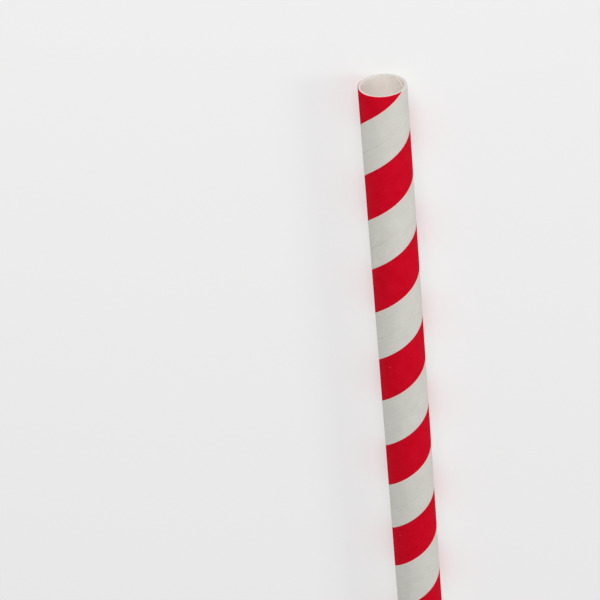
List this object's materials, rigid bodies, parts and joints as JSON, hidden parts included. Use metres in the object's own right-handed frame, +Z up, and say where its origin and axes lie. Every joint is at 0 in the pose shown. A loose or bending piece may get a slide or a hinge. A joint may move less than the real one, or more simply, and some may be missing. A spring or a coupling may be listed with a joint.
{
  "type": "paper drinking straw",
  "caption": "Straight tubular paper drinking straw with square-cut open ends and a broad red helical stripe printed round its white spirally wound wall.",
  "frame": {"origin": "under the middle of the straw, on the surface that it lies on", "axes": "+X along the straw towards the drinking end, +Z up from the surface that it lies on"},
  "size_m": [0.197, 0.008, 0.008],
  "materials": {
    "white_paper": "matt uncoated white paper",
    "red_print": "satin red ink on paper"
  },
  "bodies": {
    "root": {"paper_tube": "white_paper", "printed_stripe": "red_print"}
  },
  "joints": []
}
